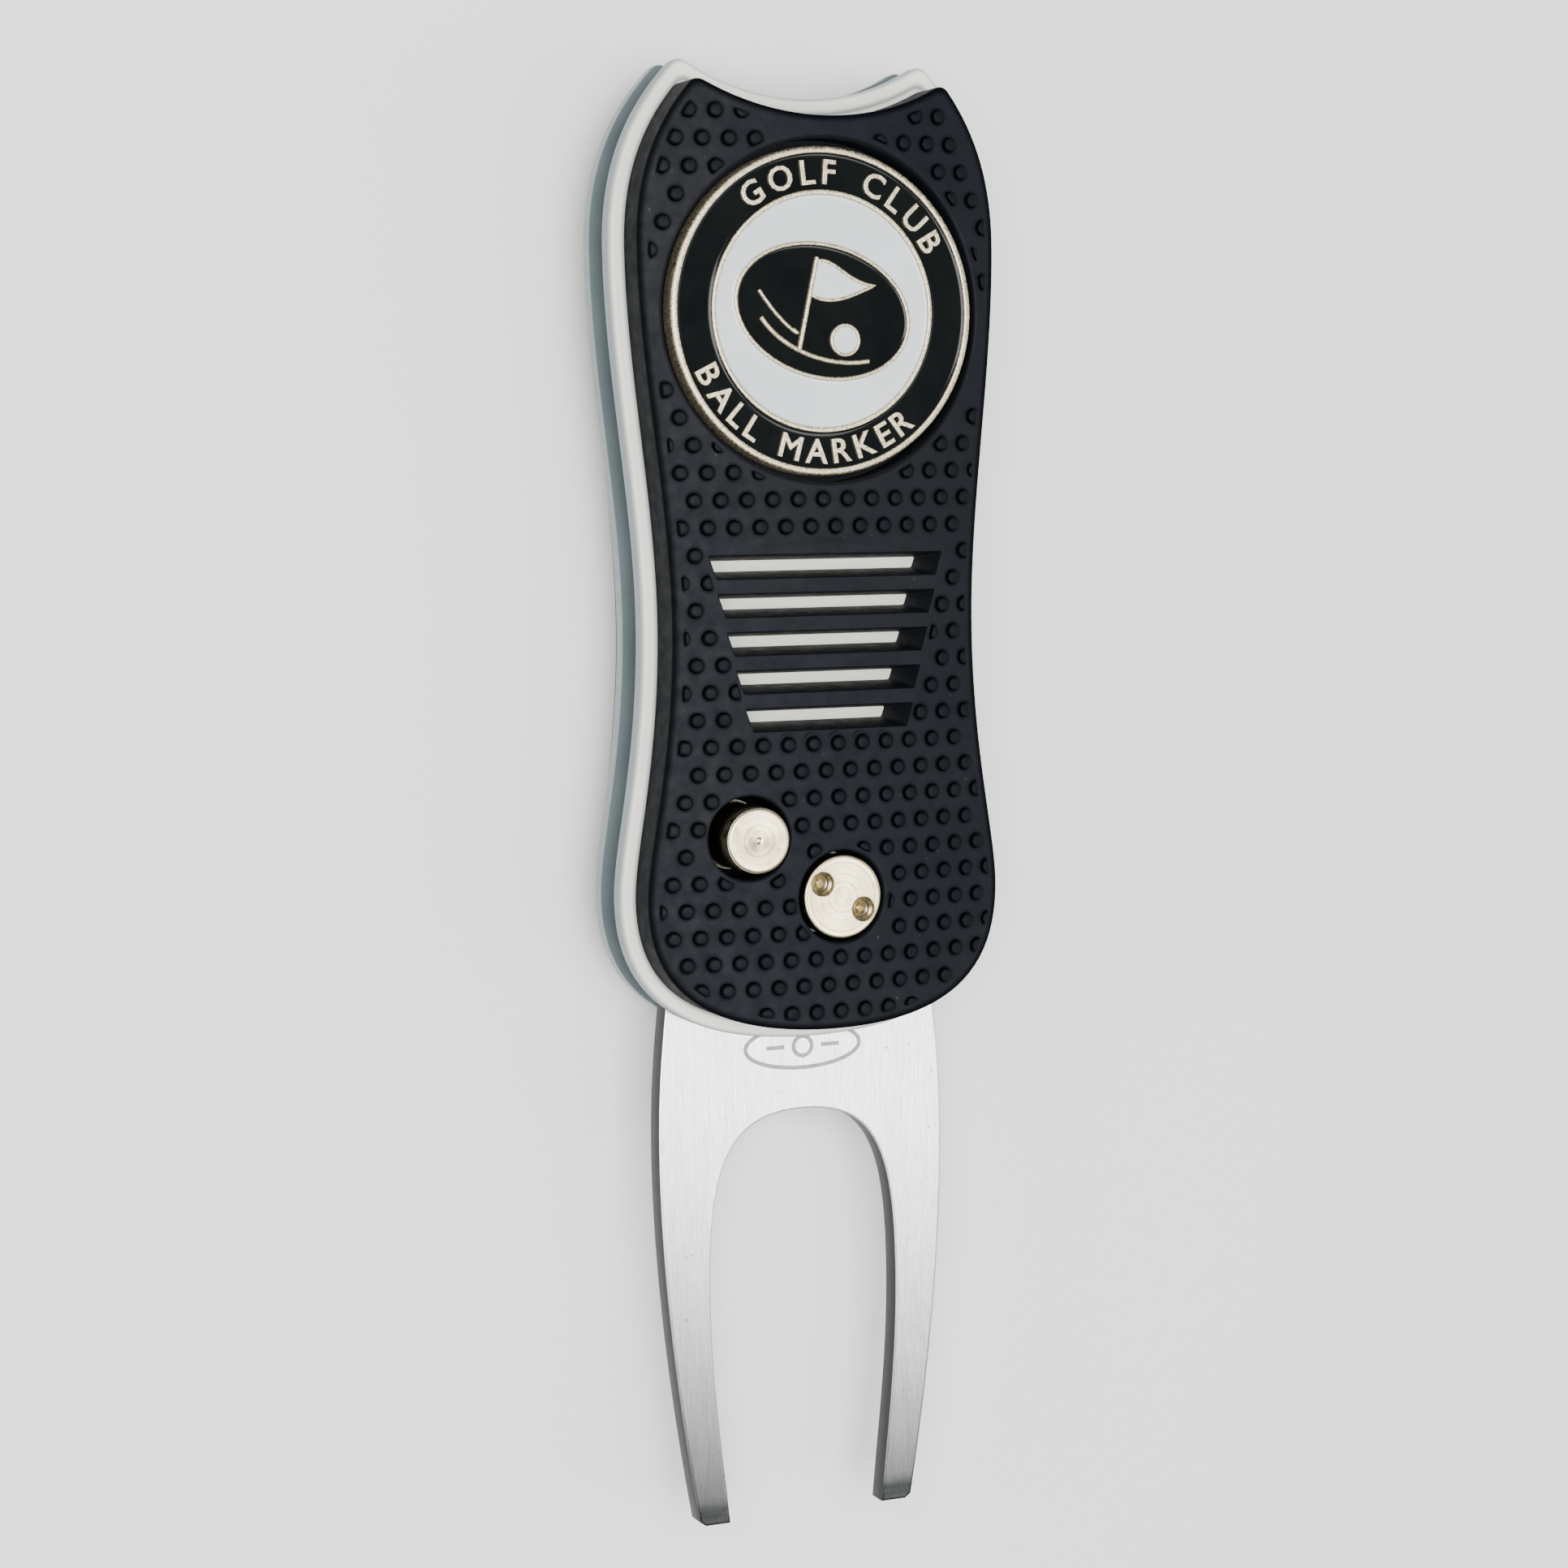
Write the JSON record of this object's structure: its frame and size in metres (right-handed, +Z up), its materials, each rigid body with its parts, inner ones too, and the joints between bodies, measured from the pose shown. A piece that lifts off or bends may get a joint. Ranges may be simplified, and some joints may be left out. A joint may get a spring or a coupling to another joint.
{
  "type": "divot repair tool",
  "caption": "Folding golf divot repair tool: steel fork swings from a slim rubber-faced handle, with push-button release and magnetic ball marker.",
  "frame": {"origin": "centre of the open tool's plan, on the surface it lies on (back down)", "axes": "+Y along the handle towards its notched end (fork tips towards -Y), +X across the handle to the side the fork swings through, +Z up out of the face with the ball marker"},
  "size_m": [0.0326, 0.1164, 0.017],
  "materials": {
    "grip_rubber": "matt moulded navy-charcoal rubber with raised pips",
    "liner_plastic": "satin cream-white moulded plastic",
    "spine_plastic": "matt grey moulded plastic",
    "fork_steel": "stainless sheet brushed lengthwise",
    "turned_metal": "lathe-turned nickel-plated face",
    "spring_steel": "drawn spring wire",
    "washer_plastic": "natural acetal",
    "coin_nickel": "die-struck antique nickel, satin",
    "dark_enamel": "glossy near-black enamel",
    "white_enamel": "glossy white enamel",
    "magnet_steel": "nickel-plated magnet and cup"
  },
  "bodies": {
    "handle": {"front_grip": "grip_rubber", "back_grip": "grip_rubber", "front_liner": "liner_plastic", "back_liner": "liner_plastic", "spine_spacer": "spine_plastic", "pivot_barrel": "turned_metal", "pivot_screw": "turned_metal", "back_washer": "washer_plastic", "front_washer": "washer_plastic", "opening_spring": "spring_steel", "button_spring": "spring_steel", "magnet_cup": "magnet_steel", "marker_magnet": "magnet_steel", "stop_pin": "turned_metal", "case_screw_1": "turned_metal", "case_screw_2": "turned_metal", "case_screw_3": "turned_metal", "case_screw_4": "turned_metal"},
    "fork": {"fork": "fork_steel"},
    "button": {"release_button": "turned_metal"},
    "marker": {"marker_coin": "coin_nickel", "enamel_band": "dark_enamel", "enamel_disc": "white_enamel"}
  },
  "joints": [
    {"name": "fork_swing", "type": "hinge", "parent": "handle", "child": "fork", "pos_m": [0.00068, -0.00693, 0.00805], "axis": [0, 0, 1], "range_deg": [0, 180], "stiffness_Nm_per_rad": 0.002, "springref_deg": -34.38},
    {"name": "button_press", "type": "slide", "parent": "handle", "child": "button", "axis": [0, 0, -1], "range_m": [0, 0.0015], "stiffness_N_per_m": 800, "springref_m": -0.0005, "deforming": ["button_spring"]},
    {"name": "marker_lift", "type": "slide", "parent": "handle", "child": "marker", "axis": [0, 0, 1], "range_m": [0, 0.02]}
  ]
}
